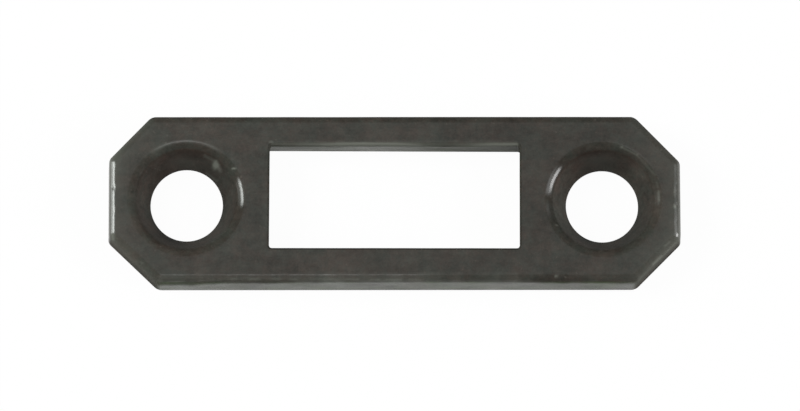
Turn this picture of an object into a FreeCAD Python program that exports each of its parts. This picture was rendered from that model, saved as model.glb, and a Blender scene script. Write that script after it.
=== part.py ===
import FreeCAD, Part
import os
import Sketcher

from FreeCAD import Vector

# Door strike plate, cast in one piece and screwed flat to a frame.
# A bolt enters the cut-out in the middle, and a countersunk screw goes through each end.
# The plate lies on its back face: X runs along it, Y across it and Z out of the front face.
# The origin is the centre of the back face. Sizes are in millimetres and degrees.
SIZES = [
    ("plate_thickness", 3.0, "back face to front face"),
    ("corner_cut", 3.55, "leg of the 45 degree cut on each corner, at the back face"),
    ("wall_draft", 2.1, "angle by which the outer walls lean in towards the front"),
    ("corner_round", 0.25, "plan radius left on the front face's own corners"),
    ("edge_round", 0.6, "radius between the front face and the outer walls"),
    ("cutout_length", 19.3, "bolt cut-out along the plate, at the front face"),
    ("cutout_width", 8.0, "bolt cut-out across the plate, at the front face"),
    ("cutout_offset", 0.1, "cut-out centre above the plate's centre line"),
    ("cutout_draft", 3.0, "angle by which the cut-out's walls open towards the back"),
    ("cutout_corner", 0.25, "plan radius in the cut-out's corners"),
    ("cutout_edge_round", 0.2, "radius between the front face and the cut-out's walls"),
    ("hole_diameter", 5.6, "screw hole at the back face"),
    ("sink_diameter", 8.1, "countersink where its cone would meet the front face"),
    ("sink_angle", 50.0, "included angle of the countersink's cone"),
    ("sink_round", 0.95, "radius between the front face and the countersink"),
    ("cutout_to_sink", 2.3, "metal between the cut-out and each countersink"),
    ("sink_to_end", 2.0, "metal between each countersink and the end of the plate"),
    ("sink_to_side", 2.55, "metal between each countersink and the long sides of the plate"),
]
# The plate is laid out from its middle: the cut-out, the two countersinks, then the metal round them.
HOLE_SPACING = "Sizes.cutout_length + 2 * Sizes.cutout_to_sink + Sizes.sink_diameter"
PLATE_LENGTH = HOLE_SPACING + " + Sizes.sink_diameter + 2 * Sizes.sink_to_end"
PLATE_WIDTH = "Sizes.sink_diameter + 2 * Sizes.sink_to_side"

# Two places closer than this are the same.
TOLERANCE = 1e-4
# How a sketch numbers the points of a line or circle, and its own axes. Its origin starts its X axis.
START, END, CENTRE = range(1, 4)
X_AXIS, Y_AXIS = range(-1, -3, -1)


def make_sheet(doc):
    """Spreadsheet with one row a size: its name, its value and what it measures."""
    sheet = doc.addObject("Spreadsheet::Sheet", "Sizes")
    for row, (alias, value, meaning) in enumerate(SIZES, start=1):
        sheet.set(f"A{row}", alias)
        sheet.set(f"B{row}", str(value))
        sheet.set(f"C{row}", meaning)
        sheet.setAlias(f"B{row}", alias)
    doc.recompute()
    return sheet


def level_sketch(body, name, at_front):
    """Sketch parallel to the back face, either on it or level with the front face."""
    plane = next(p for p in body.Origin.OriginFeatures if p.Role == "XY_Plane")
    sketch = body.newObject("Sketcher::SketchObject", name)
    sketch.AttachmentSupport = [(plane, "")]
    sketch.MapMode = "FlatFace"
    if at_front:
        sketch.setExpression("AttachmentOffset.Base.z", "Sizes.plate_thickness")
    return sketch


def hole_spacing(sheet):
    """Distance between the two screw holes, by the same sum as HOLE_SPACING."""
    return sheet.cutout_length + 2 * sheet.cutout_to_sink + sheet.sink_diameter


def plate_length(sheet):
    """Overall length at the back face, by the same sum as PLATE_LENGTH."""
    return hole_spacing(sheet) + sheet.sink_diameter + 2 * sheet.sink_to_end


def plate_width(sheet):
    """Overall width at the back face, by the same sum as PLATE_WIDTH."""
    return sheet.sink_diameter + 2 * sheet.sink_to_side


def name_and_bind(sketch, index, name, expression):
    """Name a dimension of a sketch and tie it to the sizes."""
    sketch.renameConstraint(index, name)
    sketch.setExpression(f"Constraints.{name}", expression)


def closed_outline(sketch, points):
    """Draw straight lines through the points and back to the first, joined end to end."""
    count = len(points)
    for i, start in enumerate(points):
        sketch.addGeometry(Part.LineSegment(start, points[(i + 1) % count]), False)
    for i in range(count):
        sketch.addConstraint(Sketcher.Constraint("Coincident", i, END, (i + 1) % count, START))


def draw_plate_outline(sketch, sheet):
    """Long rectangle with its four corners cut off, symmetrical about both axes."""
    x = plate_length(sheet) / 2
    y = plate_width(sheet) / 2
    cut = sheet.corner_cut
    closed_outline(sketch, [
        Vector(cut - x, -y, 0),
        Vector(x - cut, -y, 0),
        Vector(x, cut - y, 0),
        Vector(x, y - cut, 0),
        Vector(x - cut, y, 0),
        Vector(cut - x, y, 0),
        Vector(-x, y - cut, 0),
        Vector(-x, cut - y, 0),
    ])
    bottom, right, top, left = 0, 2, 4, 6
    mirrored = [
        (bottom, START, bottom, END, Y_AXIS),
        (top, START, top, END, Y_AXIS),
        (right, START, right, END, X_AXIS),
        (left, START, left, END, X_AXIS),
        (left, START, right, END, Y_AXIS),
        (bottom, START, top, END, X_AXIS),
    ]
    for pair in mirrored:
        sketch.addConstraint(Sketcher.Constraint("Symmetric", *pair))
    dimensions = [
        ("length", ("DistanceX", left, START, right, END, 2 * x), PLATE_LENGTH),
        ("width", ("DistanceY", bottom, START, top, END, 2 * y), PLATE_WIDTH),
        ("cut_x", ("DistanceX", top, START, right, END, cut), "Sizes.corner_cut"),
        ("cut_y", ("DistanceY", right, END, top, START, cut), "Sizes.corner_cut"),
    ]
    for name, constraint, expression in dimensions:
        index = sketch.addConstraint(Sketcher.Constraint(*constraint))
        name_and_bind(sketch, index, name, expression)


def draw_cutout_outline(sketch, sheet):
    """Rectangle for the bolt, a little above the plate's centre line."""
    x = sheet.cutout_length / 2
    low = sheet.cutout_offset - sheet.cutout_width / 2
    high = sheet.cutout_offset + sheet.cutout_width / 2
    closed_outline(sketch, [Vector(-x, low, 0), Vector(x, low, 0), Vector(x, high, 0), Vector(-x, high, 0)])
    bottom, top = 0, 2
    for line in (bottom, top):
        sketch.addConstraint(Sketcher.Constraint("Symmetric", line, START, line, END, Y_AXIS))
    below = "Sizes.cutout_width / 2 - Sizes.cutout_offset"
    dimensions = [
        ("length", ("DistanceX", bottom, START, bottom, END, 2 * x), "Sizes.cutout_length"),
        ("top_length", ("DistanceX", top, END, top, START, 2 * x), "Sizes.cutout_length"),
        ("width", ("DistanceY", bottom, END, top, START, high - low), "Sizes.cutout_width"),
        ("below", ("DistanceY", bottom, START, X_AXIS, START, -low), below),
    ]
    for name, constraint, expression in dimensions:
        index = sketch.addConstraint(Sketcher.Constraint(*constraint))
        name_and_bind(sketch, index, name, expression)


def draw_hole_circles(sketch, sheet):
    """One circle for each screw, level with each other on the plate's centre line."""
    x = hole_spacing(sheet) / 2
    radius = sheet.hole_diameter / 2
    left, right = 0, 1
    for centre_x in (-x, x):
        sketch.addGeometry(Part.Circle(Vector(centre_x, 0, 0), Vector(0, 0, 1), radius), False)
    sketch.addConstraint(Sketcher.Constraint("Symmetric", left, CENTRE, right, CENTRE, Y_AXIS))
    sketch.addConstraint(Sketcher.Constraint("PointOnObject", left, CENTRE, X_AXIS))
    spacing = sketch.addConstraint(Sketcher.Constraint("DistanceX", left, CENTRE, right, CENTRE, 2 * x))
    name_and_bind(sketch, spacing, "spacing", HOLE_SPACING)
    for circle, name in ((left, "left_diameter"), (right, "right_diameter")):
        diameter = sketch.addConstraint(Sketcher.Constraint("Diameter", circle, 2 * radius))
        name_and_bind(sketch, diameter, name, "Sizes.hole_diameter")


def same_place(edge, other):
    """True where two edges lie on each other."""
    near = edge.BoundBox.Center.distanceToPoint(other.BoundBox.Center) < TOLERANCE
    return near and abs(edge.Length - other.Length) < TOLERANCE


def upright_edges(shape, sheet):
    """Edges that run all the way from the back face to the front face."""
    return [edge for edge in shape.Edges if edge.BoundBox.ZLength > sheet.plate_thickness - TOLERANCE]


def front_face(shape, sheet):
    """The flat face at the plate's full thickness."""
    return next(face for face in shape.Faces if face.BoundBox.ZMin > sheet.plate_thickness - TOLERANCE)


def add_fillet(body, name, base, wanted, radius_expression):
    """Round the edges of a feature that lie where the wanted edges are."""
    names = [
        f"Edge{number}"
        for number, edge in enumerate(base.Shape.Edges, start=1)
        if any(same_place(edge, other) for other in wanted)
    ]
    if not names:
        raise RuntimeError(f"{name} found no edge to round")
    fillet = body.newObject("PartDesign::Fillet", name)
    fillet.Base = (base, names)
    fillet.setExpression("Radius", radius_expression)
    fillet.Document.recompute()
    return fillet


def require_smaller(feature, before):
    """A cut that points away from the plate would leave its volume as it was."""
    if not feature.Shape.Volume < before.Shape.Volume:
        raise RuntimeError(f"{feature.Name} cuts nothing")


def add_blank(body, sheet):
    """The plate before it is pierced: drafted outer walls with softly rounded upright corners."""
    outline = level_sketch(body, "PlateOutline", at_front=False)
    draw_plate_outline(outline, sheet)
    pad = body.newObject("PartDesign::Pad", "Plate")
    pad.Profile = outline
    pad.setExpression("Length", "Sizes.plate_thickness")
    pad.setExpression("TaperAngle", "-Sizes.wall_draft")
    body.Document.recompute()
    corners = upright_edges(pad.Shape, sheet)
    return add_fillet(body, "PlateCorners", pad, corners, "Sizes.corner_round + Sizes.edge_round")


def add_cutout(body, sheet, blank):
    """The opening for the bolt, from the front face to the back face, where it is widest."""
    outline = level_sketch(body, "CutoutOutline", at_front=True)
    draw_cutout_outline(outline, sheet)
    cutout = body.newObject("PartDesign::Pocket", "Cutout")
    cutout.Profile = outline
    cutout.setExpression("Length", "Sizes.plate_thickness")
    cutout.setExpression("TaperAngle", "Sizes.cutout_draft")
    body.Document.recompute()
    require_smaller(cutout, blank)
    outer = blank.Shape.Edges
    corners = [e for e in upright_edges(cutout.Shape, sheet) if not any(same_place(e, o) for o in outer)]
    return add_fillet(body, "CutoutCorners", cutout, corners, "Sizes.cutout_corner")


def add_screw_holes(body, sheet, before):
    """Two countersunk holes, sunk from the front face."""
    circles = level_sketch(body, "HoleCentres", at_front=True)
    draw_hole_circles(circles, sheet)
    body.Document.recompute()
    holes = body.newObject("PartDesign::Hole", "ScrewHoles")
    holes.Profile = circles
    holes.DepthType = "ThroughAll"
    holes.HoleCutType = "Countersink"
    holes.HoleCutCustomValues = True
    holes.setExpression("Diameter", "Sizes.hole_diameter")
    holes.setExpression("HoleCutDiameter", "Sizes.sink_diameter")
    holes.setExpression("HoleCutCountersinkAngle", "Sizes.sink_angle")
    body.Document.recompute()
    require_smaller(holes, before)
    return holes


def add_front_rounding(body, sheet, pierced):
    """Roll the front face over into the two countersinks, the cut-out and the outer walls."""
    face = front_face(pierced.Shape, sheet)
    outer = face.OuterWire
    inner = [wire for wire in face.Wires if not wire.isSame(outer)]
    # A countersink's rim is one whole circle, and the cut-out's mouth is lines and arcs.
    rims = [edge for wire in inner if len(wire.Edges) == 1 for edge in wire.Edges]
    mouth = [edge for wire in inner if len(wire.Edges) > 1 for edge in wire.Edges]
    rounded = add_fillet(body, "SinkRims", pierced, rims, "Sizes.sink_round")
    rounded = add_fillet(body, "CutoutMouth", rounded, mouth, "Sizes.cutout_edge_round")
    return add_fillet(body, "FrontEdge", rounded, outer.Edges, "Sizes.edge_round")


def check_document(doc):
    """Stop where an object failed or a solid is not whole."""
    for item in doc.Objects:
        if "Invalid" in item.State or "Error" in item.State:
            raise RuntimeError(f"{item.Name} failed: {item.State}")
    for body in doc.findObjects("PartDesign::Body"):
        if body.Shape.isNull() or not body.Shape.isValid() or len(body.Shape.Solids) != 1:
            raise RuntimeError(f"{body.Label} is not one valid solid")


def write_parts(doc):
    """One STEP file for each body, named by its label."""
    os.makedirs("parts", exist_ok=True)
    for body in doc.findObjects("PartDesign::Body"):
        body.Shape.exportStep(f"parts/{body.Label}.step")
        box = body.Shape.optimalBoundingBox()
        print(f"{body.Label}: {box.XLength:.3f} x {box.YLength:.3f} x {box.ZLength:.3f} mm,",
              f"{body.Shape.Volume:.1f} mm3, {len(body.Shape.Faces)} faces")


doc = FreeCAD.newDocument("DoorStrikePlate")
sheet = make_sheet(doc)
strike = doc.addObject("PartDesign::Body", "StrikePlate")
strike.Label = "strike_plate"
blank = add_blank(strike, sheet)
opened = add_cutout(strike, sheet, blank)
pierced = add_screw_holes(strike, sheet, opened)
strike.Tip = add_front_rounding(strike, sheet, pierced)
doc.recompute()
check_document(doc)
write_parts(doc)
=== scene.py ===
# %% [markdown]
# # A door strike plate, dressed for its picture
#
# A strike plate is screwed to a door frame, and the lock's bolt goes into its cut-out. This one is a small oblong
# of dark coated metal with four cut-off corners, a rectangular cut-out and a countersunk screw hole at each end.
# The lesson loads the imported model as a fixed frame, works out one fine closed mesh that takes the place of the
# CAD node, gives it a dark semi-gloss finish, and sets up the camera, the white floor and the lamps.

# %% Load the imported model
import math

import bmesh
import bpy
import numpy as np
from mathutils import Matrix, Vector


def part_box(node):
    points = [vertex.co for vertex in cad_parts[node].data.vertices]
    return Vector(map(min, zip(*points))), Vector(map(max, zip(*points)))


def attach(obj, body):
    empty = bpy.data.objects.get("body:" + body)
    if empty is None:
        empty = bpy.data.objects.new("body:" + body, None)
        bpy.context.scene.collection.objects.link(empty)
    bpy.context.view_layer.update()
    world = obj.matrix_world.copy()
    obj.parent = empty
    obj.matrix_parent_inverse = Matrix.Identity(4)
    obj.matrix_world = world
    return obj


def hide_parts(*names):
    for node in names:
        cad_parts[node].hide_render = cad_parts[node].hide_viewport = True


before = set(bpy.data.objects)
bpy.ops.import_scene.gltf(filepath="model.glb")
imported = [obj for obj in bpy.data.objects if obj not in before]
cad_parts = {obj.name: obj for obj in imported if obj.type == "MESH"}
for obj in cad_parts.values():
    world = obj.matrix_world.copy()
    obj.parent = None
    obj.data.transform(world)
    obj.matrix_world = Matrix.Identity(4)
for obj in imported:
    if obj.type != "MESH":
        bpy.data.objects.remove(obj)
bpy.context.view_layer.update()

# %% [markdown]
# ## Measures
#
# The frame gives the plate's box, so its length, width and thickness are read from there. The other measures are
# in millimetres: how far the corners are cut, how much the outer walls lean, and how large each rounding is. The
# drawing is symmetrical, but the casting in the picture isn't quite: each corner is cut a little differently, the
# right hole sits a tenth lower, and the cut-out widens towards the back. The upright corners beside the two ends
# are sharp on the wall and worn rounder towards the face. Those small differences are kept here.
#
# Lists of four start at the rear right corner, and lists of eight at the corner between the right end and the cut
# after it. Both run anticlockwise, seen from the front. All shapes below are worked out in millimetres and become
# metres at the very end.

# %% Measures of the plate, in millimetres
low, high = (np.array(corner) * 1000 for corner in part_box("strike_plate"))
HALF_LENGTH, HALF_WIDTH, THICKNESS = high[0], high[1], high[2]

CORNER_CUTS = np.array([[3.55, 3.68], [3.31, 3.43], [3.81, 3.69], [3.51, 3.55]])  # off the length, off the width
CORNER_ROUNDS = np.array([0.02, 0.25, 0.25, 0.02, 0.02, 0.25, 0.25, 0.02])
CORNER_WEAR = np.array([0.2, 0, 0, 0.4, 0.35, 0, 0, 0.5])
WALL_LEAN = math.radians(2.1)
EDGE_ROUND = 0.6

OPENING_FRONT = np.array([[9.59, 4.12], [-9.59, 4.12], [-9.65, -3.85], [9.56, -3.88]])
OPENING_BACK = np.array([[9.75, 4.28], [-9.75, 4.36], [-9.80, -4.00], [9.70, -4.03]])
OPENING_CORNER = 0.22
OPENING_ROUNDS = {"right": 0.2, "top": 0.36, "left": 0.2, "bottom": 0.2}

HOLE_CENTRES = {-1: np.array([-16.02, 0.01]), 1: np.array([16.01, -0.09])}
HOLE_RADIUS = 2.8
BORE_STRETCH = np.array([0.995, 1.013])
SINK_RADIUS = 4.05
SINK_HALF_ANGLE = math.radians(25)
SINK_ROUND = 0.95

BACK_BREAK = 0.02  # the sharp back edges, rounded by the coating
STEP = 0.13  # the distance between neighbouring points of a straight run
print("plate", (high - low).round(3), "mm")

# %% [markdown]
# ## Loops with round corners
#
# Every ring of points on this plate has straight sides and round corners: the outline, the cut-out, and each hole,
# which is nothing but corner. Such a ring is made in two parts: a core point that stays where it is, and a unit
# arrow that points outwards. Core plus radius times arrow is the point. When the radius grows, the ring grows by
# the same amount all round, as a real rounding does, and no ring ever crosses itself.

# %% Helpers for loops
def arrows(angles):
    """Unit arrows in the plane: (cosine, sine) of each angle."""
    return np.stack([np.cos(angles), np.sin(angles)], axis=-1)


def between(start, end, step=STEP):
    """Evenly spaced numbers strictly between start and end, about one step apart."""
    count = max(2, int(round(abs(end - start) / step)))
    return np.linspace(start, end, count + 1)[1:-1]


cut_angle = np.degrees(np.arctan2(CORNER_CUTS[:, 0], CORNER_CUTS[:, 1]))
SIDE_ANGLES = np.array([0, cut_angle[0], 90, 180 - cut_angle[1], 180, 180 + cut_angle[2], 270, 360 - cut_angle[3]])
TOWARDS = np.array([[1, 1], [-1, 1], [-1, -1], [1, -1]])


def octagon_corners(depth):
    """Corners of the octagon whose sides lie depth inside the base outline, with one depth or one for each corner.

    Each side has its arrow and its distance h from the middle. A corner is where two neighbouring sides cross: it
    solves arrow . p = h - depth for both of them at once.
    """
    side = arrows(np.radians(SIDE_ANGLES))
    on_end = TOWARDS * np.stack([np.full(4, HALF_LENGTH), HALF_WIDTH - CORNER_CUTS[:, 1]], axis=1)
    reach = np.array([HALF_LENGTH, 0, HALF_WIDTH, 0] * 2)
    reach[1::2] += (side[1::2] * on_end).sum(axis=1)
    pair = np.stack([side, np.roll(side, -1, axis=0)], axis=1)
    both = np.stack([reach, np.roll(reach, -1)], axis=1) - np.reshape(depth, (-1, 1))
    return np.linalg.solve(pair, both[..., None])[..., 0]


print("the corner cuts face", SIDE_ANGLES[1::2].round(1), "degrees")

# %% [markdown]
# ## The cut-out's loop comes first
#
# The front face is drawn as three ring-shaped sheets: one round each screw hole and one round the cut-out. They
# meet on two lines across the plate, beside the cut-out. The sheets only join without cracks if they share their
# points, so the points of the cut-out's loop are chosen first, and the points on the plate's long edges and on the
# two seam lines follow from them.

# %% Choose the points that the sheets share
FACE_INSET = THICKNESS * math.tan(WALL_LEAN) + EDGE_ROUND * math.tan(math.pi / 4 - WALL_LEAN / 2)
FACE_HALF_WIDTH = HALF_WIDTH - FACE_INSET
SEAM_X = 10.6

ARC_STEPS = 10
quarter = np.linspace(0, math.pi / 2, ARC_STEPS + 1)
halfway = np.linspace(0, 1, ARC_STEPS // 2 + 1)


def opening_loop():
    """For each point of the cut-out's loop: its share across and up, its arrow's angle, its partner on the sheet.

    The loop runs anticlockwise from the lower end of the right side. Each straight side is a row of even steps. At
    each corner the arrow makes a quarter turn on one spot, while the partner goes round the corner of the sheet.
    """
    steps = [between(0, 1, STEP / length) for length in OPENING_FRONT[0] - OPENING_FRONT[2]]
    corner = OPENING_FRONT - TOWARDS * OPENING_CORNER
    sheet = TOWARDS * np.array([SEAM_X, FACE_HALF_WIDTH])
    share, angle, partner = [], [], []
    for turn in range(4):
        run = 1 - turn % 2  # the side before this corner runs along y (1) or along x (0)
        still = 1 - run
        step, at = steps[run], (TOWARDS[turn] + 1) / 2
        side, opposite = np.empty((len(step), 2)), np.empty((len(step), 2))
        side[:, run], side[:, still] = step if turn in (0, 3) else 1 - step, at[still]
        start, end = corner[turn - 1, run], corner[turn, run]
        opposite[:, run], opposite[:, still] = start + (end - start) * step, sheet[turn, still]
        arrive, leave = sheet[turn].copy(), sheet[turn].copy()
        arrive[run], leave[still] = corner[turn, run], corner[turn, still]
        first = arrive + halfway[:, None] * (sheet[turn] - arrive)
        second = sheet[turn] + halfway[1:, None] * (leave - sheet[turn])
        share += [side, np.tile(at, (ARC_STEPS + 1, 1))]
        angle += [np.full(len(step), turn * math.pi / 2), quarter + turn * math.pi / 2]
        partner += [opposite, first, second]
    return np.concatenate(share), np.concatenate(angle), np.concatenate(partner)


opening_share, opening_angle, opening_partner = opening_loop()


def opening_ring(z, out):
    """The cut-out's ring, with a height and a distance outwards for each point of the loop.

    The four corners slide from their back place to their front place with the height. A point with share (u, v) is
    u of the way from left to right and v of the way from bottom to top, and its arrow then takes it outwards.
    """
    u, v = opening_share[:, :1], opening_share[:, 1:]

    def core(corner):
        inner = corner - TOWARDS * OPENING_CORNER
        return v * (u * inner[0] + (1 - u) * inner[1]) + (1 - v) * ((1 - u) * inner[2] + u * inner[3])

    rise = z[:, None] / THICKNESS
    flat = core(OPENING_BACK) * (1 - rise) + core(OPENING_FRONT) * rise
    return np.c_[flat + (OPENING_CORNER + out[:, None]) * arrows(opening_angle), z]


print("cut-out loop:", len(opening_angle), "points; seams at x =", SEAM_X, "mm")

# %% [markdown]
# ## The outline of the plate
#
# The outline is an octagon with round corners. It is needed at many heights, each a little further in than the last.
# So its points are stored as a recipe and not as places: which two corners of the octagon a point lies between, how
# far along, and the angle of its arrow. The octagon of any depth then gives the ring of that depth.

# %% The recipe of the outline
on_long_edge = np.isclose(np.abs(opening_partner[:, 1]), FACE_HALF_WIDTH)
CORNER_STEPS = 6


def outline_recipe():
    """For each point of the outline: the corner before it, the corner after it, its share of the way, its angle.

    Side j runs from corner j - 1 to corner j, and corner j then turns to the next side's arrow in even steps. On
    the two long sides the points have the x of the cut-out sheet's points.
    """
    corner = octagon_corners(FACE_INSET + CORNER_ROUNDS)
    before, after, share, angle = [], [], [], []
    for side in range(8):
        start, end = corner[side - 1], corner[side]
        if side in (2, 6):
            seam = math.copysign(SEAM_X, start[0])
            middle = opening_partner[on_long_edge & (opening_partner[:, 1] * start[1] > 0), 0]
            x = np.concatenate([between(start[0], seam), middle, between(-seam, end[0])])
            along = (x - start[0]) / (end[0] - start[0])
        else:
            along = between(0, 1, STEP / np.linalg.norm(end - start))
        turn = np.linspace(SIDE_ANGLES[side], np.append(SIDE_ANGLES, 360)[side + 1], CORNER_STEPS + 1)
        before += [np.full(len(along), (side - 1) % 8), np.full(len(turn), side)]
        after += [np.full(len(along), side), np.full(len(turn), side)]
        share += [along, np.zeros(len(turn))]
        angle += [np.full(len(along), SIDE_ANGLES[side]), turn]
    return np.concatenate(before), np.concatenate(after), np.concatenate(share), np.radians(np.concatenate(angle))


before, after, share, outline_angle = outline_recipe()


def outline_ring(inset, roll):
    """The outline moved in by inset: core point plus radius times arrow.

    The radius is CORNER_ROUNDS + roll, and near the face, where roll falls from EDGE_ROUND to 0, CORNER_WEAR comes
    in. Each corner turns about its own core point, which lies inset + radius inside the base outline.
    """
    radius = CORNER_ROUNDS + roll + CORNER_WEAR * (1 - roll / EDGE_ROUND)
    corner, part = octagon_corners(inset + radius), share[:, None]
    core = corner[before] * (1 - part) + corner[after] * part
    return core + (radius[before] * (1 - share) + radius[after] * share)[:, None] * arrows(outline_angle)


face_ring = outline_ring(FACE_INSET, 0)
print("outline:", len(face_ring), "points, half size at the face", np.abs(face_ring).max(axis=0).round(3), "mm")

# %% [markdown]
# ## Walls that roll over into the face
#
# A wall is a profile carried round a loop. The profile starts at the back with a tiny broken edge, where the coating
# rounds the sharp rim, climbs the leaning wall, and rolls over into the front face on a quarter of a circle. For
# each height the ring of that height is worked out, and the rings are stacked into a grid.

# %% Stack rings into the outer wall and the cut-out's wall
def stack(rings, heights):
    """A grid of points from rings of the same length, each at its own height."""
    flat = np.stack(rings)
    z = np.broadcast_to(np.asarray(heights, dtype=float)[:, None, None], flat.shape[:2] + (1,))
    return np.concatenate([flat, z], axis=2)


BREAK = np.linspace(math.pi / 2, 0, 4)  # angles on the broken back edge
ROLL = np.linspace(0, 1, 13)  # shares of the way round a rolled edge
CLIMB = between(0, 1, 0.1)  # shares of the way up a wall


def outer_wall():
    """Outer wall: broken back edge, leaning wall, then a circle of EDGE_ROUND whose middle is FACE_INSET inside."""
    rows = [(BACK_BREAK * (1 - math.cos(b)), BACK_BREAK * (1 - math.sin(b)), EDGE_ROUND) for b in BREAK]
    roll = WALL_LEAN + ROLL * (math.pi / 2 - WALL_LEAN)
    wall_top = THICKNESS - EDGE_ROUND * (1 - math.sin(WALL_LEAN))
    rows += [(z * math.tan(WALL_LEAN), z, EDGE_ROUND) for z in between(BACK_BREAK, wall_top, 0.3)]
    rows += [(FACE_INSET - EDGE_ROUND * math.cos(a), THICKNESS - EDGE_ROUND * (1 - math.sin(a)),
              EDGE_ROUND * math.cos(a)) for a in roll]
    return stack([outline_ring(inset, r) for inset, z, r in rows], [z for inset, z, r in rows])


def opening_wall():
    """The cut-out: rings up the wall, then outwards along a circle whose radius differs from side to side.

    The radius at an arrow (c, s) is the mean of those of the two sides it points to, weighed with c and s squared.
    """
    c, s = np.cos(opening_angle), np.sin(opening_angle)
    roll = (np.where(c > 0, OPENING_ROUNDS["right"], OPENING_ROUNDS["left"]) * c ** 2
            + np.where(s > 0, OPENING_ROUNDS["top"], OPENING_ROUNDS["bottom"]) * s ** 2)
    rows = [(BACK_BREAK * (1 - math.cos(b)), BACK_BREAK * (1 - math.sin(b))) for b in BREAK]
    rows = [(np.full_like(roll, out), np.full_like(roll, z)) for out, z in rows]
    rows += [(np.zeros_like(roll), BACK_BREAK + t * (THICKNESS - roll - BACK_BREAK)) for t in CLIMB]
    rows += [(roll * (1 - math.cos(a)), THICKNESS - roll * (1 - math.sin(a))) for a in ROLL * math.pi / 2]
    return np.stack([opening_ring(z, out) for out, z in rows])


wall_grid, opening_grid = outer_wall(), opening_wall()
print("outer wall", wall_grid.shape[:2], "cut-out wall", opening_grid.shape[:2], "points")

# %% [markdown]
# ## The countersunk holes
#
# A countersink is a surface of revolution: rolled rim, cone and bore are one profile turned about the screw's axis.
# The angles at which the profile stands are not even: they are the directions in which the points of the surrounding
# sheet lie, so that rim and sheet join.

# %% Rim, cone and bore of a hole
def seam_points(side, ring, share_up):
    """Points on a seam line: from its lower end on the outline, share_up of the way to its upper end."""
    ends = ring[np.isclose(face_ring[:, 0], side * SEAM_X)]
    low_end, high_end = ends[np.argsort(ends[:, 1])]
    return low_end + (high_end - low_end) * share_up[:, None]


def seam_shares(side):
    """Which points of the cut-out sheet's edge lie on a seam line, and how far up it each of them is, 0 to 1."""
    on_seam = np.isclose(opening_partner[:, 0], side * SEAM_X) & ~on_long_edge
    return on_seam, (1 + opening_partner[on_seam, 1] / FACE_HALF_WIDTH) / 2


def sheet_edge(side, ring):
    """The outer loop of the sheet round one hole, anticlockwise: round the plate's end, then back along the seam."""
    at_end = side * face_ring[:, 0] >= SEAM_X - 1e-6
    points = ring[at_end]
    if side > 0:
        points = np.roll(points, -int(np.argmin(at_end)), axis=0)
    share_up = np.sort(seam_shares(side)[1])
    return np.concatenate([points, seam_points(side, ring, share_up[::-side])])


def sink(side, angle):
    """One hole: a rim rolled with radius SINK_ROUND, a cone down to HOLE_RADIUS, and a straight bore.

    On the way down to the bore the ring becomes very slightly oval, as BORE_STRETCH says.
    """
    rim = SINK_RADIUS + SINK_ROUND * math.tan((math.pi / 2 - SINK_HALF_ANGLE) / 2)
    bend = math.pi / 2 - ROLL * (math.pi / 2 - SINK_HALF_ANGLE)
    rows = [(rim - SINK_ROUND * math.cos(a), THICKNESS - SINK_ROUND * (1 - math.sin(a))) for a in bend]
    radius, z = rows[-1]
    land = z - (radius - HOLE_RADIUS) / math.tan(SINK_HALF_ANGLE)
    rows += [(radius + (HOLE_RADIUS - radius) * t, z + (land - z) * t) for t in CLIMB]
    rows += [(HOLE_RADIUS, land + (BACK_BREAK - land) * t) for t in (0, 0.5)]
    rows += [(HOLE_RADIUS + BACK_BREAK * (1 - math.cos(b)), BACK_BREAK * (1 - math.sin(b))) for b in BREAK[::-1]]
    radii, heights = np.array(rows).T
    down = np.clip((radii[0] - radii) / (radii[0] - HOLE_RADIUS), 0, 1)[:, None, None]
    flat = HOLE_CENTRES[side] + radii[:, None, None] * arrows(angle) * (1 + (BORE_STRETCH - 1) * down)
    return stack(flat, heights)


def directions(side):
    """Angles, seen from the hole's axis, of the points on the edge of the sheet round it."""
    edge = sheet_edge(side, face_ring) - HOLE_CENTRES[side]
    return np.arctan2(edge[:, 1], edge[:, 0])


sinks = {side: sink(side, directions(side)) for side in (-1, 1)}
print("each hole:", sinks[1].shape[:2], "points")

# %% [markdown]
# ## Front and back
#
# Each sheet of the face is a ruled surface: a straight line joins each point of the inner loop to its partner on
# the outer loop, and the grid's rows are even steps along those lines. The back is made the same way from the rings
# at the very back, with fewer rows, because nothing happens there.

# %% Ruled sheets between two loops
def ruled(inner, outer, rows, z):
    """Rows of points from the inner loop to the outer loop: inner plus t times the way to outer, at one height."""
    t = np.linspace(0, 1, rows + 1)[:, None, None]
    flat = inner[None] + t * (outer - inner)[None]
    return np.concatenate([flat, np.full(flat.shape[:2] + (1,), float(z))], axis=2)


def opening_sheet_edge(ring):
    """The outer loop of the sheet round the cut-out: outline points on the long edges, seam points at the sides."""
    edge = np.empty_like(opening_partner)
    for sign in (1, -1):
        mine = on_long_edge & (sign * opening_partner[:, 1] > 0)
        edge[mine] = ring[(np.abs(face_ring[:, 0]) <= SEAM_X + 1e-6) & (sign * face_ring[:, 1] > 0)]
        on_seam, share_up = seam_shares(sign)
        edge[on_seam] = seam_points(sign, ring, share_up)
    return edge


HOLE_FACE_ROWS, HOLE_BACK_ROWS, OPENING_FACE_ROWS, OPENING_BACK_ROWS = 14, 5, 9, 4

back_ring = wall_grid[0, :, :2]
grids = [wall_grid, opening_grid, *sinks.values()]
for side, hole in sinks.items():
    grids.append(ruled(hole[0, :, :2], sheet_edge(side, face_ring), HOLE_FACE_ROWS, THICKNESS))
    grids.append(ruled(hole[-1, :, :2], sheet_edge(side, back_ring), HOLE_BACK_ROWS, 0))
grids.append(ruled(opening_grid[-1, :, :2], opening_sheet_edge(face_ring), OPENING_FACE_ROWS, THICKNESS))
grids.append(ruled(opening_grid[0, :, :2], opening_sheet_edge(back_ring), OPENING_BACK_ROWS, 0))
print("sheets:", [grid.shape[:2] for grid in grids[4:]])

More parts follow.
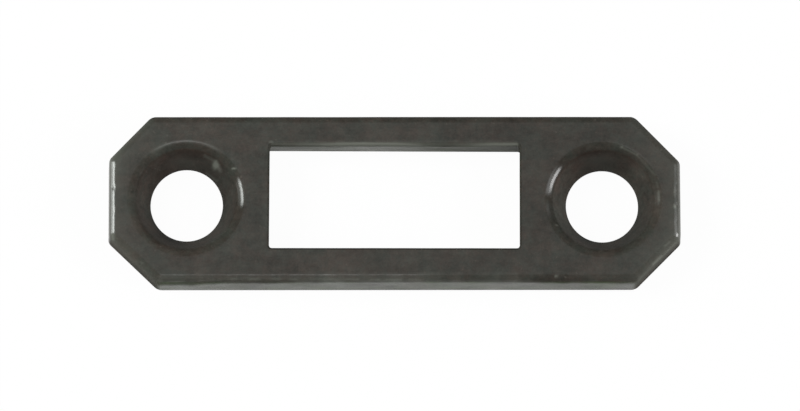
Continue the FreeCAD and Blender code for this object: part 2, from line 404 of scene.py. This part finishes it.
# %% [markdown]
# ## One closed mesh
#
# Each grid is a band that closes on itself, so its faces are found by adding one to a point's row or column. The
# bands share their edge points, and merging doubles turns them into one closed skin. Its faces are then turned to
# look outwards; the printed signed volume is positive when they do, and the open edges are counted.

# %% Join the grids
def band_faces(rows, columns, first):
    """Corner numbers of the faces of a band: point (i, j), its neighbours in the next row, and column j + 1."""
    i, j = np.meshgrid(np.arange(rows - 1), np.arange(columns), indexing="ij")
    k = (j + 1) % columns
    return (first + np.stack([i * columns + j, i * columns + k, (i + 1) * columns + k, (i + 1) * columns + j],
                             axis=-1)).reshape(-1, 4)


MERGE_DISTANCE = 2e-7  # in metres

starts = np.cumsum([0] + [grid.shape[0] * grid.shape[1] for grid in grids[:-1]])
points = np.concatenate([grid.reshape(-1, 3) for grid in grids])
faces = np.concatenate([band_faces(*grid.shape[:2], first) for grid, first in zip(grids, starts)])

mesh = bpy.data.meshes.new("strike_plate_skin")
mesh.from_pydata(points / 1000, [], faces)
skin = bmesh.new()
skin.from_mesh(mesh)
bmesh.ops.remove_doubles(skin, verts=skin.verts, dist=MERGE_DISTANCE)
bmesh.ops.recalc_face_normals(skin, faces=skin.faces)
open_edges = sum(1 for edge in skin.edges if not edge.is_manifold)
print("volume", round(skin.calc_volume(signed=True) * 1e9, 1), "mm3; open edges:", open_edges)
skin.to_mesh(mesh)
skin.free()

# %% [markdown]
# ## Waves and nicks
#
# Cast and coated metal is never a perfect plane. Highlights wander a little along every edge, and small nicks catch
# the light. Both are pushed into the mesh: a point moves inwards, against its normal, by a sum of a few dozen long
# and short sine waves of random directions, and by a bell-shaped dent at each nick. Nothing moves outwards, so the
# plate stays inside its box, and the flat back isn't touched.

# %% Push in the waves and the nicks
WAVE_DEPTH = 0.012
SHARP_ANGLE = math.radians(40)
NICKS = np.array([  # the middle's x, y and z, the width, the depth
    (-21.66, 0.92, 2.92, 0.24, 0.045), (-21.64, -0.95, 2.93, 0.30, 0.02), (-21.60, 2.55, 2.94, 0.26, 0.015),
    (21.62, 1.05, 2.90, 0.26, 0.025), (21.66, -0.55, 2.88, 0.24, 0.03), (21.60, -1.75, 2.92, 0.30, 0.02),
])


def waves(place, count=48, seed=7):
    """Sum of sine waves, from -1 to 1: each has a random direction and phase, and a length from 1.5 to 9 mm."""
    random = np.random.default_rng(seed)
    direction = random.normal(size=(count, 3))
    direction /= np.linalg.norm(direction, axis=1, keepdims=True)
    length = np.exp(random.uniform(math.log(1.5), math.log(9), count))
    phase = random.uniform(0, 2 * math.pi, count)
    height = np.sin(place @ (direction * (2 * math.pi / length)[:, None]).T + phase)
    return np.clip(height @ length / np.sqrt((length ** 2).sum() * 3), -1, 1)


place = np.empty(len(mesh.vertices) * 3)
mesh.vertices.foreach_get("co", place)
place = place.reshape(-1, 3) * 1000
normal = np.empty(len(mesh.vertices) * 3, dtype=np.float32)
mesh.vertex_normals.foreach_get("vector", normal)
normal = normal.reshape(-1, 3)

above_back = np.clip((place[:, 2] - 0.1) / 0.8, 0, 1)
depth = WAVE_DEPTH * (1 + waves(place)) / 2 * above_back
for *centre, width, nick_depth in NICKS:
    away = ((place - centre) ** 2).sum(axis=1)
    depth += nick_depth * np.exp(-away / (2 * (width / 2) ** 2))
place -= normal * depth[:, None]
mesh.vertices.foreach_set("co", (place / 1000).ravel())
mesh.update()
mesh.shade_smooth()
mesh.set_sharp_from_angle(angle=SHARP_ANGLE)

plate = bpy.data.objects.new("plate", mesh)
bpy.context.scene.collection.objects.link(plate)
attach(plate, "root")
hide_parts("strike_plate")
print("plate:", len(mesh.vertices), "points,", 2 * len(mesh.polygons), "triangles, waves and nicks up to",
      round(float(depth.max()) * 1000, 1), "micrometres deep")

# %% [markdown]
# ## Where the coating is dull or worn, and where light and shade are painted
#
# The coating is glossy on the face and on the rolled edges of the two ends. In the countersinks, on the corner cuts
# and down the walls it is matt, as where it dried thin or where dust stays. Along the cut-out's upper edge the bolt
# has worn it light, and a painted highlight lies on that edge too. Three values a point say so, and two of them also
# carry painted light and shade: `dull`, from 0 to 1; `pale`, the share of a paler colour that stands for wear and
# specks and for painted sheen and painted highlights; and `tone`, which multiplies red, green and blue and holds
# painted light and shade. All three are smooth functions of how far a spot tilts from level and which way it faces,
# both in degrees, and of where it lies. They are stored in the mesh as attributes, because a pattern of noise can't
# follow the edges of a shape.

# %% Measure every point
def ramp(value, start, end):
    """0 up to start, 1 from end on, and a smooth S between them: 3 t squared minus 2 t cubed."""
    t = np.clip((value - start) / (end - start), 0, 1)
    return t * t * (3 - 2 * t)


def bell(value, centre, width):
    """1 at the centre, falling off on both sides as a bell of the given half width."""
    return np.exp(-((value - centre) / width) ** 2 / 2)


def wrapped(angle):
    """The same angle in degrees, brought between -180 and 180."""
    return (angle + 180) % 360 - 180


def window(value, start, end, soft):
    """1 between start and end, 0 outside, with smooth shoulders 2 x soft wide."""
    return ramp(value, start - soft, start + soft) * (1 - ramp(value, end - soft, end + soft))


tilt = np.degrees(np.arccos(np.clip(normal[:, 2], -1, 1)))
facing = np.degrees(np.arctan2(normal[:, 1], normal[:, 0]))
x, y, z = place.T
LEFT, RIGHT, FRONT, REAR = 180, 0, -90, 90


def faces(direction, width):
    """A bell in the angle between the way a spot faces and a direction, both seen from above."""
    return bell(wrapped(facing - direction), 0, width)


SINK_REACH = 4.8
hole_away = {side: np.hypot(*(place[:, :2] - HOLE_CENTRES[side]).T) for side in (-1, 1)}
hole_turn = {side: np.degrees(np.arctan2(*(place[:, :2] - HOLE_CENTRES[side]).T[::-1])) for side in (-1, 1)}
left_sink, right_sink = hole_away[-1] < SINK_REACH, hole_away[1] < SINK_REACH
in_sink = left_sink | right_sink
in_opening = (np.abs(x) < 10) & (y > -4.3) & (y < 4.7)
outside = ~in_opening & ~in_sink
print("points in the sinks, in the cut-out, outside:", in_sink.sum(), in_opening.sum(), outside.sum())

# %% [markdown]
# The outside: both ends are glossy, the right one unevenly and less towards the rear, and so is the worn corner in
# front of it. The front wall is half glossy below a wavy line that sinks towards both ends. The rolled edge above it
# is glossy in dashes. The corner cuts and the rear wall are dull.

# %% Outside
right_gloss = 0.5 + 0.35 * ramp(-y, -1.2, -0.6) + 0.15 * ramp(-y, 1.4, 1.8)
right_gloss *= 1 + 0.7 * waves(place * (1, 2.6, 1), seed=3)
right_wall = ramp(tilt, 34, 46)
right_gloss = right_gloss * (1 - right_wall) + 0.85 * right_wall
right_corner = (x > 20) * window(facing, -34, -8, 4) * (1 - ramp(tilt, 55, 72))
end_gloss = faces(LEFT, 18) + faces(RIGHT, 18) * right_gloss + right_corner

wall_line = 2.6 - 0.4 * ramp(-x, 5, 10) - 0.75 * ramp(-x, 12, 16) - 0.6 * ramp(x, 9, 13)
wall_line += 0.2 * waves(place * (3, 0, 0), seed=29)
wall_gloss = (0.48 + 0.08 * ramp(-x, 12, 16)) * faces(FRONT, 16) * ramp(wall_line - z, -0.75, 0.4)
wall_gloss *= 1 + 0.2 * waves(place * (2, 1, 5), seed=23)

dashes = np.clip(0.5 + 1.8 * waves(place * (5, 1.5, 1.5), seed=13), 0, 1)
roll_gloss = 1 - ramp(tilt, 2, 10) * (1 - faces(FRONT, 16) * (1 - ramp(tilt, 25, 50)))
roll_gloss *= 1 - faces(FRONT, 16) * ramp(tilt, 2, 7) * (0.7 * ramp(x, 1, 5) + 0.3 * ramp(-x, 9, 13))
roll_gloss *= 1 - 0.5 * (1 - dashes) * faces(FRONT, 16) * window(tilt, 4, 22, 3)

outside_gloss = np.clip(np.maximum(roll_gloss, np.maximum(end_gloss, wall_gloss)), 0.06, 1)
print("glossy share outside:", round(float((outside_gloss[outside] > 0.5).mean()), 2))

# %% [markdown]
# The cut-out: its upper wall is partly glossy, most so left of the middle, and the rest is dull.

# %% Cut-out
mouth_strength = 0.105 + 0.13 * (1 - ramp(x, -2, 4)) + 0.05 * bell(x, -1, 2.4)
mouth_gloss = mouth_strength * faces(FRONT, 25) * ramp(tilt, 70, 88) * ramp(2.78 - z, 0, 0.35)
mouth_gloss *= 1 + 0.3 * waves(place * (1.5, 1, 5), seed=37)
opening_gloss = np.maximum(1 - ramp(tilt, 3, 12), mouth_gloss)
print("gloss of the cut-out's upper wall: up to", round(float(mouth_gloss[in_opening].max()), 2))

# %% [markdown]
# The countersinks: the cones are dull. Each rim is glossy only over short arcs, given as hole (-1 is the left one),
# first and last angle, and strength. The first list holds arcs down to the cone, the second arcs high on the rim.

# %% Countersinks
RIM_ARCS = [(-1, -7, 20, 0.85), (1, 143, 174, 1.0), (1, 184, 200, 0.3), (1, -7, 6, 0.05)]
BROW_ARCS = [(-1, 57, 123, 1.0), (1, 38, 75, 0.15)]
RIM_REACH = 5.2


def arcs(listed, soft):
    """For each point the strength of the arc that it lies on, 0 where it lies on none."""
    found = np.zeros(len(place))
    for side, first, last, strength in listed:
        middle, half = (first + last) / 2, (last - first) / 2
        mine = (hole_away[side] < RIM_REACH) * window(wrapped(hole_turn[side] - middle), -half, half, soft)
        found = np.maximum(found, strength * mine)
    return found


rim_gloss = arcs(RIM_ARCS, 4) * (1 - np.where(x < 0, 0.8, 0.25) * ramp(tilt, 22, 31))
brow_gloss = np.maximum(rim_gloss, arcs(BROW_ARCS, 8) * (1 - ramp(tilt, 16, 24)))
sink_gloss = (1 - ramp(tilt, 4, 10) * (1 - brow_gloss)) * (1 - ramp(tilt, 40, 54)) + 0.06 * ramp(tilt, 38, 50)
print("points on the glossy arcs:", int((arcs(RIM_ARCS + BROW_ARCS, 4) > 0.5).sum()))

# %% [markdown]
# The paler places are, first, a painted sheen near the ends and the corner cuts, and short marks: painted glints
# and painted highlight ends on the rims, in the cones and on the rolled ends, and a few specks and scratches. The
# sheen has a strength for each side of the outline. A mark is a short line: its two ends, its width and its strength.

# %% Painted sheen, painted glints and marks
EDGE_SHEEN = {0: 0.26, 1: 0.13, 3: 0.15, 4: 0.33, 5: 0.14, 7: 0.27}
EDGE_SHEEN_DEPTH = 0.9
# Most marks are painted glints and highlight ends on rims, in cones and on rolled ends; a few are specks and
# scratches
MARKS_AND_GLINTS = [(12.34, -6.11, 12.34, -6.11, 0.14, 0.8), (12.36, -2.08, 12.46, -2.1, 0.1, 0.4),
         (-19.43, -5.01, -19.40, -5.0, 0.13, 0.3), (-13.85, 2.86, -13.76, 2.76, 0.25, 1.1),
         (-13.72, 3.0, -13.42, 2.4, 0.15, 0.5), (-14.6, 3.5, -13.8, 3.05, 0.12, 0.3),
         (-14.5, 2.53, -13.7, 1.85, 0.1, 0.25), (-12.46, 2.36, -12.27, 2.35, 0.1, 1.0),
         (-9.6, 4.42, -9.45, 4.42, 0.14, 0.4), (17.41, 4.03, 17.45, 4.02, 0.12, 0.4),
         (17.5, 4.0, 18.63, 3.39, 0.1, 0.3), (18.63, 3.39, 20.0, 1.82, 0.1, 0.2),
         (21.48, -3.68, 20.9, -4.2, 0.14, 0.4), (20.42, -4.5, 19.8, -5.1, 0.14, 0.4),
         (21.05, -3.45, 20.7, -3.75, 0.12, 0.3), (21.51, -0.70, 21.51, -0.64, 0.16, 1.0),
         (-21.63, -2.75, -21.63, -3.1, 0.18, 0.6), (21.5, 0.7, 21.5, 0.15, 0.14, 0.3),
         (20.27, 0.55, 20.28, -0.2, 0.12, 0.42), (20.13, 1.25, 20.22, 0.85, 0.12, 0.2)]


def edge_sheen():
    """Painted sheen: over the sides, strength times e to the minus depth / sheen depth, depth being the way in from
    it.
    """
    corner, side = octagon_corners(0), arrows(np.radians(SIDE_ANGLES))
    return sum(strength * np.exp(-np.clip((corner[j] - place[:, :2]) @ side[j], 0, None) / EDGE_SHEEN_DEPTH)
               for j, strength in EDGE_SHEEN.items())


def marks_and_glints():
    """Sum of strength times a bell across each mark, in the distance to the nearest point of its short line."""
    total = np.zeros(len(place))
    for x0, y0, x1, y1, width, strength in MARKS_AND_GLINTS:
        from_start, run = place[:, :2] - (x0, y0), np.array([x1 - x0, y1 - y0])
        t = np.clip(from_start @ run / max(run @ run, 1e-9), 0, 1)
        total += strength * bell(np.hypot(*(from_start - t[:, None] * run).T), 0, width / 2)
    return total


# painted sheen near the ends and the corner cuts, stronger towards the rear near the left end
pale = edge_sheen() * ramp(z, 0.2, 2.2) * (1 + 0.42 * ramp(y, -1.5, 2.5) * ramp(-x, 17, 20))
# the painted glints and the specks and scratches: everywhere in the sinks, elsewhere only high on the plate
pale += marks_and_glints() * np.where(in_sink, 1, ramp(z, 2.1, 2.6))
print("haze and marks: up to", round(float(pale.max()), 2))

# %% [markdown]
# Then come more painted sheen and painted highlights. On the front edge: a wash at its left end, a line of painted
# highlight dashes high on the roll, and a painted reflection on the glossy wall under them and on the cut-out's upper
# wall. The edge of the cut-out that the bolt rubs, as wear with a painted highlight on it, most so in the middle and
# at the right. A painted highlight streak on the front right corner cut and painted sheen on the right end. And
# painted highlight arcs on the brows over the holes.

# %% Pale edges: wear, painted sheen and painted highlights
streaks = 1 + 0.5 * waves(place * (0.4, 2.5, 2.5), seed=11)
scuffs = 1 + 0.7 * waves(place * (0.5, 4, 4), seed=5)

front_edge = outside * faces(FRONT, 20) * ramp(tilt, 3, 20) * (1 - ramp(tilt, 78, 88))
crest = 42 + 20 * ramp(-x, 12, 16) + 5 * waves(place * (1.5, 0, 0), seed=17)
# painted highlight dashes high on the front roll
highlight_dashes = (0.08 + 0.28 * dashes) * bell(tilt, crest, 7)
# painted sheen: a wash on the upper front wall near its left end
pale += 0.14 * outside * faces(FRONT, 16) * ramp(-x, 12, 15) * window(z, 1.2, 2.4, 0.3)
# painted sheen on the left part of the front roll, with the painted highlight dashes
pale += front_edge * (1 - ramp(x, 0, 4)) * (0.06 + 0.05 * ramp(-x, 7, 11) + highlight_dashes)
# painted reflection: glossy parts of the front wall and of the cut-out's upper wall are made paler
pale += 0.6 * wall_gloss + 0.4 * in_opening * mouth_gloss

# wear where the bolt rubs, together with a painted highlight on the same rolled edge
rub_and_highlight = in_opening * scuffs * faces(FRONT, 25) * ramp(tilt, 4, 20) * bell(tilt, 58 + 1.0 * np.clip(x, -7, 7), 27)
pale += rub_and_highlight * (0.34 + 1.6 * bell(x, -0.3, 2.7) + 1.35 * ramp(x, 3.5, 6))

# a painted highlight streak along the front right corner cut, and painted sheen on the right end's roll
right_cut_highlight = 0.22 * faces(-45, 10) * bell(z, 2.5, 0.28) * streaks
right_end_sheen = 0.2 * faces(RIGHT, 18) * ramp(tilt, 25, 50)
pale += outside * (x > 0) * (right_cut_highlight + right_end_sheen)

# painted highlight arcs on the brows over the holes
brow_highlight = arcs(BROW_ARCS, 8) * bell(tilt, 10, 5)
pale += brow_highlight * (0.08 + 0.25 * ramp(np.abs(x + 16), 0.8, 2.4))
print("pale share: mean", round(float(pale.mean()), 3), "and up to", round(float(pale.max()), 2))

# %% [markdown]
# The lightness of the coating holds painted shade: it grows darker towards the right. In the rims and cones it holds
# painted light and painted shade by which way they face, and the two holes differ. The rear edge and the lower edge
# of the cut-out are dark. A dark brown patch lies low in the left hole, `warmth` turns the cones' front-facing side
# brown, and the walls that face the front get a painted green cast of the reflection they show. Together they make
# the tone.

# %% Tone
cone = in_sink * ramp(tilt, 45, 60)
# painted shade: the coating grows darker towards the right
painted_light_and_shade = 0.955 - 0.10 * ramp(x, -8, 12)
# painted light and painted shade in the rims and cones, by which way each part faces; the holes differ
painted_light_and_shade -= np.where(x < 0, 0.16, 0.2) * cone * faces(LEFT, 60)
painted_light_and_shade += 0.16 * right_sink * faces(LEFT, 45) * window(tilt, 8, 44, 5)
painted_light_and_shade += 0.13 * left_sink * faces(RIGHT, 50) * window(tilt, 6, 46, 5)
painted_light_and_shade += cone * (x > 0) * (0.08 + 0.28 * faces(RIGHT, 45) + 0.3 * faces(-135, 25) + 0.06 * faces(LEFT, 35))
painted_light_and_shade -= cone * faces(FRONT, 25) * np.where(x > 0, 0.36, 0.06)
painted_light_and_shade -= 0.45 * outside * faces(REAR, 30) * window(tilt, 52, 82, 8)
painted_light_and_shade -= 0.55 * in_opening * faces(REAR, 30) * window(tilt, 20, 84, 8)

# a darker brown patch low in the left hole's cone
dark_brown_patch = left_sink * faces(55, 22) * window(tilt, 28, 72, 8)
painted_light_and_shade -= 0.17 * dark_brown_patch
warmth = in_sink * ramp(tilt, 42, 56) * faces(-80, 40) + 0.5 * dark_brown_patch
# painted green cast of the reflection on the walls that face the front
reflection_green = ~in_sink * faces(FRONT, 20) * ramp(tilt, 60, 80) * (1 + waves(place * (2, 1, 2), seed=31))
tone = painted_light_and_shade[:, None] * (1 + warmth[:, None] * (0.10, -0.08, -0.11) + reflection_green[:, None] * (0.06, 0.34, -0.08))
print("shade from", round(float(painted_light_and_shade.min()), 2), "to", round(float(painted_light_and_shade.max()), 2))

# %% Store the three values in the mesh
gloss = np.where(in_sink, sink_gloss, np.where(in_opening, opening_gloss, outside_gloss))
for name, values in (("dull", 1 - gloss), ("pale", np.clip(pale, 0, 1))):
    layer = mesh.attributes.new(name, "FLOAT", "POINT")
    layer.data.foreach_set("value", values.astype(np.float32))
layer = mesh.attributes.new("tone", "FLOAT_VECTOR", "POINT")
layer.data.foreach_set("vector", tone.astype(np.float32).ravel())
print("share of dull points:", round(float((gloss < 0.5).mean()), 2))

# %% [markdown]
# ## A small language for shaders
#
# A material is a graph of nodes, and long sums are hard to read as nodes. `Wire` wraps one output socket and gives
# it Python's arithmetic: each operator adds a Math node. Every other node comes from `Finish.node`, which sets the
# node's own settings first and then fills its inputs with numbers or wires.

# %% Wire and Finish
class Wire:
    """One output socket of a node, on which +, - and * add Math nodes."""

    def __init__(self, finish, socket):
        self.finish, self.socket = finish, socket

    def math(self, operation, *values, clamp=False):
        """Adds a Math node on these values, each a number or a Wire."""
        settings = {"operation": operation, "use_clamp": clamp}
        return self.finish.node("ShaderNodeMath", settings, dict(enumerate(values)))

    def __add__(self, other):
        return self.math("ADD", self, other)

    def __sub__(self, other):
        return self.math("SUBTRACT", self, other)

    def __rsub__(self, other):
        return self.math("SUBTRACT", other, self)

    def __mul__(self, other):
        return self.math("MULTIPLY", self, other)

    def clamped(self):
        """The same value, held between 0 and 1."""
        return self.math("ADD", self, 0.0, clamp=True)

    __radd__, __rmul__ = __add__, __mul__


class Finish:
    """A new material and the nodes in it."""

    def __init__(self, name):
        self.material = bpy.data.materials.new(name)
        self.material.use_nodes = True
        self.tree = self.material.node_tree
        self.tree.nodes.clear()

    def node(self, kind, settings=None, inputs=None, output=0):
        """Adds a node: its settings first, then its inputs by name or number. Returns a Wire from one output."""
        made = self.tree.nodes.new(kind)
        for name, value in (settings or {}).items():
            setattr(made, name, value)
        for name, value in (inputs or {}).items():
            if isinstance(value, Wire):
                self.tree.links.new(value.socket, made.inputs[name])
            else:
                made.inputs[name].default_value = value
        return Wire(self, made.outputs[output]) if made.outputs else made

    def blend(self, factor, first, second):
        """Mixes two colours: first where factor is 0, second where it is 1."""
        settings = {"data_type": "RGBA", "blend_type": "MIX", "clamp_factor": True}
        return self.node("ShaderNodeMix", settings, {0: factor, 6: first, 7: second}, output=2)


# %% [markdown]
# ## The dark finish
#
# The coating is a thin dark layer with a soft gloss. From close by it isn't one colour: it drifts between a green
# grey and a warm brown over a millimetre or two, a fine grain and short streaks lie over that, and here and there
# is a paler speck. All patterns read Object coordinates, so they are fixed to the plate, and their sizes are given
# in millimetres.
#
# Gloss and dullness are two shaders of the same colour: a smooth one that reflects, and a rough one that doesn't.
# The `dull` value mixes them.

# %% Patterns on the plate
GREEN_GREY, WARM_BROWN = (0.0398, 0.0410, 0.0349, 1.0), (0.0466, 0.0384, 0.0323, 1.0)
# the paler colour: wear and specks, and painted sheen and painted highlights
PALE_WEAR_AND_HIGHLIGHT = (0.136, 0.140, 0.121, 1.0)
BUMP_HEIGHT = 0.00004  # in metres

finish = Finish("dark_finish")
spot = finish.node("ShaderNodeTexCoord", output="Object")
spot = finish.node("ShaderNodeVectorMath", {"operation": "SCALE"}, {0: spot, "Scale": 1000.0})


def cloud(size, detail, roughness=0.5, stretch=(1.0, 1.0, 1.0)):
    """Soft random blotches about `size` millimetres across, from 0 to 1 and mostly near 0.5."""
    at = finish.node("ShaderNodeVectorMath", {"operation": "MULTIPLY"}, {0: spot, 1: stretch})
    return finish.node("ShaderNodeTexNoise", None, {"Vector": at, "Scale": 1.0 / size, "Detail": detail,
                                                    "Roughness": roughness})


def stored(name, output="Fac"):
    """The value that the mesh holds under this name."""
    return finish.node("ShaderNodeAttribute", {"attribute_name": name}, output=output)


tint = ((cloud(2.4, 5.0, 0.85) - 0.5) * 4.5 + 0.5).clamped()
grain = (cloud(3.2, 5.0, 0.95) - 0.5) * 2.0
streak = (cloud(0.5, 2.0, stretch=(0.25, 1.0, 1.0)) - 0.5) * 2.0
specks = ((cloud(0.3, 1.0) - 0.69) * 8.0).clamped()
roughness = (0.22 + (cloud(0.7, 3.0) - 0.5) * 0.16).clamped()
height = cloud(0.9, 2.0) * 0.5 + cloud(0.16, 2.0) * 0.12
print("nodes in the patterns:", len(finish.tree.nodes))

# %% Colour, bump and gloss
colour = finish.blend(tint, GREEN_GREY, WARM_BROWN)
bright = 1.0 + grain + streak * 0.15
colour = finish.node("ShaderNodeVectorMath", {"operation": "SCALE"}, {0: colour, "Scale": bright})
# the tone carries painted light and painted shade
colour = finish.node("ShaderNodeVectorMath", {"operation": "MULTIPLY"}, {0: colour, 1: stored("tone", "Vector")})
colour = finish.blend(stored("pale") + specks * 0.18, colour, PALE_WEAR_AND_HIGHLIGHT)
bump = finish.node("ShaderNodeBump", None, {"Strength": 0.35, "Distance": BUMP_HEIGHT, "Height": height})
glossy = finish.node("ShaderNodeBsdfPrincipled", None, {
    "Base Color": colour, "Roughness": roughness, "Normal": bump, "IOR": 1.6, "Metallic": 0.0})
matt = finish.node("ShaderNodeBsdfPrincipled", None, {
    "Base Color": colour, "Roughness": 0.9, "Normal": bump, "Specular IOR Level": 0.0, "Metallic": 0.0})
coat = finish.node("ShaderNodeMixShader", None, {0: stored("dull"), 1: glossy, 2: matt})
finish.node("ShaderNodeOutputMaterial", None, {"Surface": coat})
mesh.materials.append(finish.material)
print("nodes in the finish:", len(finish.tree.nodes))

# %% [markdown]
# ## The camera
#
# The picture was taken from nearly straight above and from fairly far away, with the plate leaning 12 degrees
# towards the viewer. The camera stands at that distance and angle and looks a hair past the plate's middle, because
# the plate lies slightly up and left in the picture. The Standard view shows colours as they are written.

# %% Put the camera in place
VIEW_TILT, VIEW_TURN, VIEW_ROLL = (math.radians(v) for v in (12.0, -0.63, -0.167))
DISTANCE = 565.0
PIXELS_PER_MM = 12.993
LOOK_RIGHT, LOOK_DOWN = 5.36, 3.25  # in pixels, past the plate's middle
IMAGE_WIDTH, SENSOR_WIDTH = 800, 36.0

middle = np.array([0, 0, THICKNESS / 2])
back = np.array([math.sin(VIEW_TURN) * math.cos(VIEW_TILT), -math.sin(VIEW_TILT),
                 math.cos(VIEW_TURN) * math.cos(VIEW_TILT)])
right = np.cross([0, 1, 0], back)
right /= np.linalg.norm(right)
up = np.cross(back, right)
right, up = (math.cos(VIEW_ROLL) * right + math.sin(VIEW_ROLL) * up,
             math.cos(VIEW_ROLL) * up - math.sin(VIEW_ROLL) * right)
aim = middle + right * (LOOK_RIGHT / PIXELS_PER_MM) - up * (LOOK_DOWN / PIXELS_PER_MM)
eye = middle + back * DISTANCE
forward = (aim - eye) / np.linalg.norm(aim - eye)
right = np.cross(forward, up)
right /= np.linalg.norm(right)
up = np.cross(right, forward)

camera = bpy.data.objects.new("camera", bpy.data.cameras.new("camera"))
camera.data.sensor_width = SENSOR_WIDTH
camera.data.lens = DISTANCE * PIXELS_PER_MM * SENSOR_WIDTH / IMAGE_WIDTH
camera.data.clip_start, camera.data.clip_end = 0.01, 20.0
pose = np.array([right, up, -forward, eye / 1000]).T
camera.matrix_world = Matrix([*pose.tolist(), [0, 0, 0, 1]])
bpy.context.scene.collection.objects.link(camera)
bpy.context.scene.camera = camera
bpy.context.scene.view_settings.view_transform = "Standard"
print("lens", round(camera.data.lens, 1), "mm, camera at", (eye / 1000).round(4))

# %% [markdown]
# ## A white floor
#
# The floor is a paper sweep: a flat disc whose far edge curls up. The camera, and every glossy reflection, sees it
# as nearly pure white, while the light that it throws back on the plate is that of plain white paper. A small
# share of real paper stays in the mix, so the plate's shadow is faintly there.

# %% Shape of the floor
FLOOR_REACH, FLOOR_CURL, FLOOR_GAP = 2.4, 0.3, 0.00002  # in metres


def sweep(turns=64):
    """A surface of revolution: flat out to FLOOR_REACH, then a quarter circle of FLOOR_CURL that lifts the edge."""
    curl = np.linspace(0, math.pi / 2, 9)
    radius = np.concatenate([[0.3, 1.0], FLOOR_REACH + FLOOR_CURL * np.sin(curl)])
    lift = np.concatenate([[0, 0], FLOOR_CURL * (1 - np.cos(curl))]) - FLOOR_GAP
    angle = np.linspace(0, 2 * math.pi, turns, endpoint=False)
    ring = radius[:, None, None] * arrows(angle)
    return np.concatenate([ring, np.broadcast_to(lift[:, None, None], ring.shape[:2] + (1,))], axis=2)


paper_grid = sweep()
rows, columns = paper_grid.shape[:2]
paper_faces = [list(range(columns))] + band_faces(rows, columns, 0)[:, ::-1].tolist()
paper = bpy.data.meshes.new("paper")
paper.from_pydata(paper_grid.reshape(-1, 3), [], paper_faces)
floor = bpy.data.objects.new("floor", paper)
bpy.context.scene.collection.objects.link(floor)
print("floor:", len(paper.polygons), "faces")

# %% White paper
PAPER, WHITE = (0.85, 0.85, 0.85, 1.0), (1.0, 1.0, 1.0, 1.0)
GLOW_SHARE = 0.965

white = Finish("white_paper")
path = {name: white.node("ShaderNodeLightPath", output=name)
        for name in ("Is Camera Ray", "Is Glossy Ray", "Is Transmission Ray")}
seen = (path["Is Camera Ray"] + path["Is Glossy Ray"] + path["Is Transmission Ray"]).clamped()
sheet = white.node("ShaderNodeBsdfDiffuse", None, {"Color": PAPER})
glow = white.node("ShaderNodeEmission", None, {"Color": WHITE, "Strength": 1.0})
shown = white.node("ShaderNodeMixShader", None, {0: seen * GLOW_SHARE, 1: sheet, 2: glow})
white.node("ShaderNodeOutputMaterial", None, {"Surface": shown})
paper.materials.append(white.material)
print("nodes in the paper:", len(white.tree.nodes))

# %% [markdown]
# ## Light
#
# A plain dim world fills the shadows. At each side stands a soft box that draws the bright lines on the rolled edges
# and rims that face it, and with it a dimmer one, a veil, which spreads a faint gloss beside those lines. A short
# strip hangs overhead. The printed levels add up to about 1, and the world adds a quarter, so that a level surface
# renders in about its own colour.

# %% World and lamps
WORLD_LEVEL = 0.24
GREEN_WHITE, PLAIN_WHITE, BLUE_WHITE = (0.96, 1.0, 0.97), (1.0, 1.0, 1.0), (0.96, 0.99, 1.0)

world = bpy.data.worlds.new("room")
world.use_nodes = True
world.node_tree.nodes["Background"].inputs["Color"].default_value = WHITE
world.node_tree.nodes["Background"].inputs["Strength"].default_value = WORLD_LEVEL
bpy.context.scene.world = world


def soft_box(name, azimuth, elevation, distance, width, height, radiance, colour):
    """A rectangular lamp that looks at the plate. Azimuth is anticlockwise from +X, in degrees; sizes in metres.

    The power in watts is radiance times pi times the area.
    """
    lamp = bpy.data.lights.new(name, "AREA")
    lamp.shape, lamp.size, lamp.size_y = "RECTANGLE", width, height
    lamp.energy, lamp.color = radiance * math.pi * width * height, colour
    a, e = math.radians(azimuth), math.radians(elevation)
    direction = Vector((math.cos(a) * math.cos(e), math.sin(a) * math.cos(e), math.sin(e)))
    holder = bpy.data.objects.new(name, lamp)
    turn = direction.to_track_quat("Z", "Y").to_matrix().to_4x4()
    holder.matrix_world = Matrix.Translation(direction * distance) @ turn
    bpy.context.scene.collection.objects.link(holder)
    level = radiance * width * height * math.sin(e) / distance ** 2 / math.pi
    print(f"{name}: {lamp.energy:.2f} W, lights level white to about {level:.2f}")


soft_box("left_box", 172, 42, 0.6, 0.26, 0.28, 12.5, GREEN_WHITE)
soft_box("left_veil", 172, 15, 0.6, 0.28, 0.24, 4.5, GREEN_WHITE)
soft_box("right_box", -12, 24, 0.6, 0.28, 0.28, 10.2, PLAIN_WHITE)
soft_box("right_veil", 14, 46, 0.6, 0.28, 0.36, 1.6, BLUE_WHITE)
soft_box("overhead_strip", -120, 83, 0.25, 0.05, 0.04, 2.8, PLAIN_WHITE)
